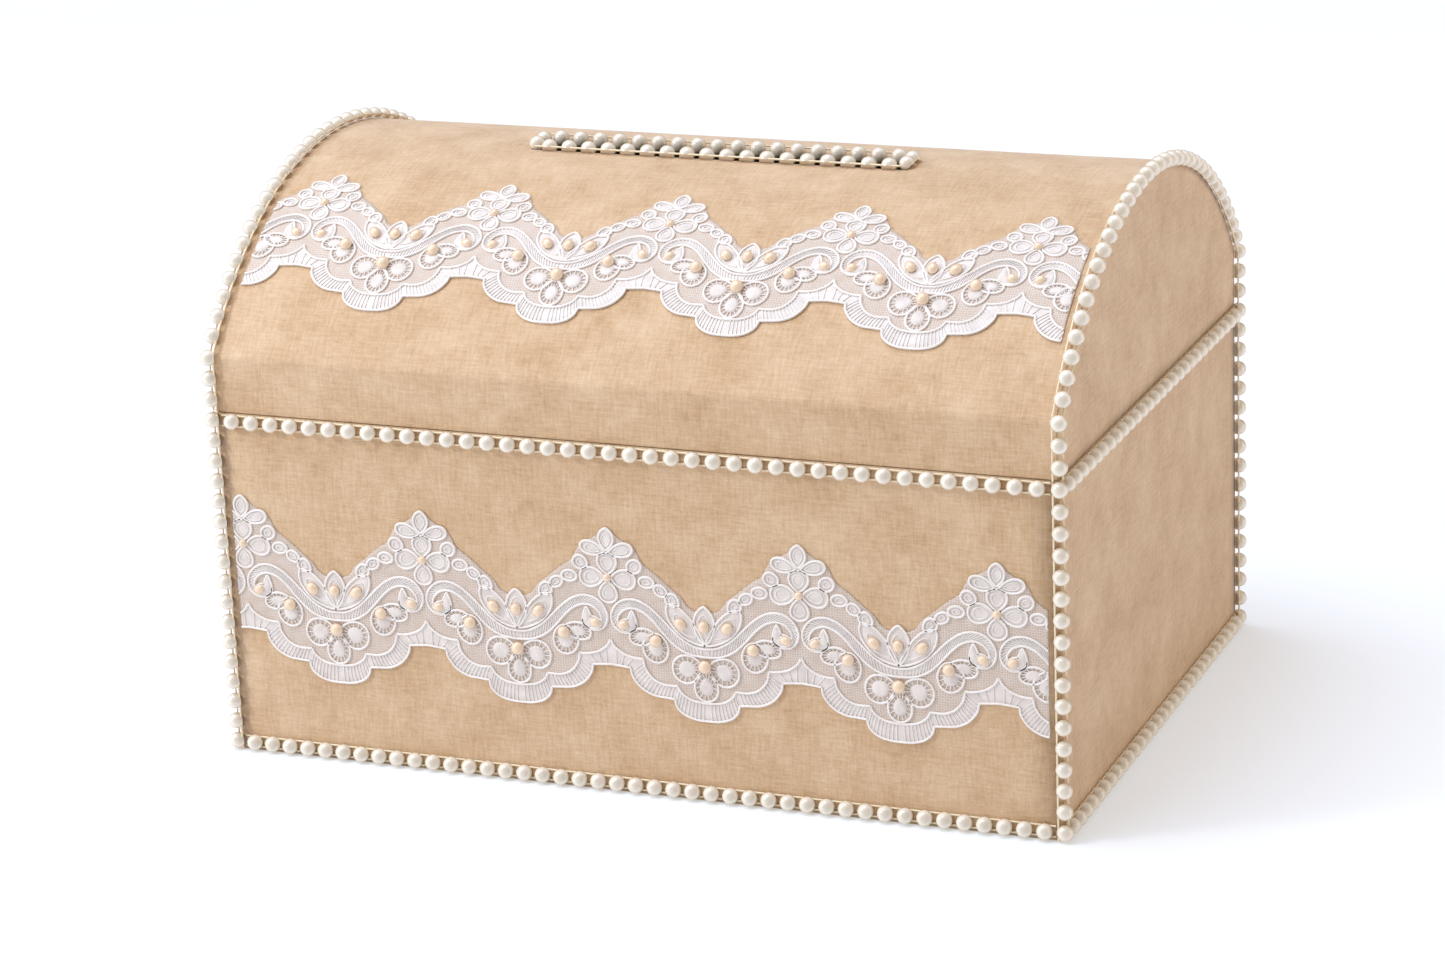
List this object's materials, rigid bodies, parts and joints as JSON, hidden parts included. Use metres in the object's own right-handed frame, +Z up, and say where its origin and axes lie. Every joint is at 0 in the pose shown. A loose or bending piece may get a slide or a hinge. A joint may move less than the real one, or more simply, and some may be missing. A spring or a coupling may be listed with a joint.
{
  "type": "wedding card box",
  "caption": "Fabric-covered chest with an arched lid hinged at the back, a card slot edged in pearls, pearl trim on its edges and lace across the front and the lid.",
  "frame": {"origin": "centre of the box's footprint, on the surface that it stands on", "axes": "+X along the width to the viewer's right, -Y is the front, +Z up"},
  "size_m": [0.3806, 0.2726, 0.2488],
  "materials": {
    "felt": "pressed wool-blend felt, tan",
    "board": "grey-brown bookbinding board, uncoated",
    "lining_paper": "ivory laid paper, matt",
    "linen_cloth": "champagne linen-weave bookcloth, matt with a slight sheen",
    "lace_net": "fine greyed net",
    "lace_cord": "white viscose cord and satin stitch",
    "bead": "peach pearl lacquer",
    "pearl": "ivory pearl lacquer on moulded plastic",
    "brass": "polished brass"
  },
  "bodies": {
    "base": {"underside_felt": "felt", "base_floor_board": "board", "base_front_board": "board", "base_back_board": "board", "base_left_board": "board", "base_right_board": "board", "base_cloth": "linen_cloth", "base_lining_walls": "lining_paper", "base_lining_floor": "lining_paper", "base_lace_net": "lace_net", "base_lace_embroidery": "lace_cord", "base_lace_beads": "bead", "foot_pearls_front": "pearl", "foot_pearls_right": "pearl", "foot_pearls_back": "pearl", "foot_pearls_left": "pearl", "rim_pearls_front": "pearl", "rim_pearls_right": "pearl", "rim_pearls_back": "pearl", "rim_pearls_left": "pearl", "corner_pearls_front_left": "pearl", "corner_pearls_front_right": "pearl", "corner_pearls_back_left": "pearl", "corner_pearls_back_right": "pearl", "hinge_base_leaf_left": "brass", "hinge_base_leaf_right": "brass", "hinge_pin_left": "brass", "hinge_pin_right": "brass", "hinge_base_rivets": "brass"},
    "lid": {"lid_front_rail": "board", "lid_back_rail": "board", "lid_left_end_board": "board", "lid_right_end_board": "board", "lid_dome_board": "board", "lid_cloth": "linen_cloth", "lid_cloth_left_end": "linen_cloth", "lid_cloth_right_end": "linen_cloth", "lid_lining": "lining_paper", "lid_lining_left_end": "lining_paper", "lid_lining_right_end": "lining_paper", "slot_binding": "linen_cloth", "lid_lace_net": "lace_net", "lid_lace_embroidery": "lace_cord", "lid_lace_beads": "bead", "arch_pearls_left": "pearl", "arch_pearls_right": "pearl", "slot_pearls_front": "pearl", "slot_pearls_back": "pearl", "slot_pearls_ends": "pearl", "hinge_lid_leaf_left": "brass", "hinge_lid_leaf_right": "brass", "hinge_lid_rivets": "brass"}
  },
  "joints": [
    {"name": "lid_hinge", "type": "hinge", "parent": "base", "child": "lid", "pos_m": [0, 0.13385, 0.1518], "axis": [-1, 0, 0], "range_deg": [0, 105]}
  ]
}
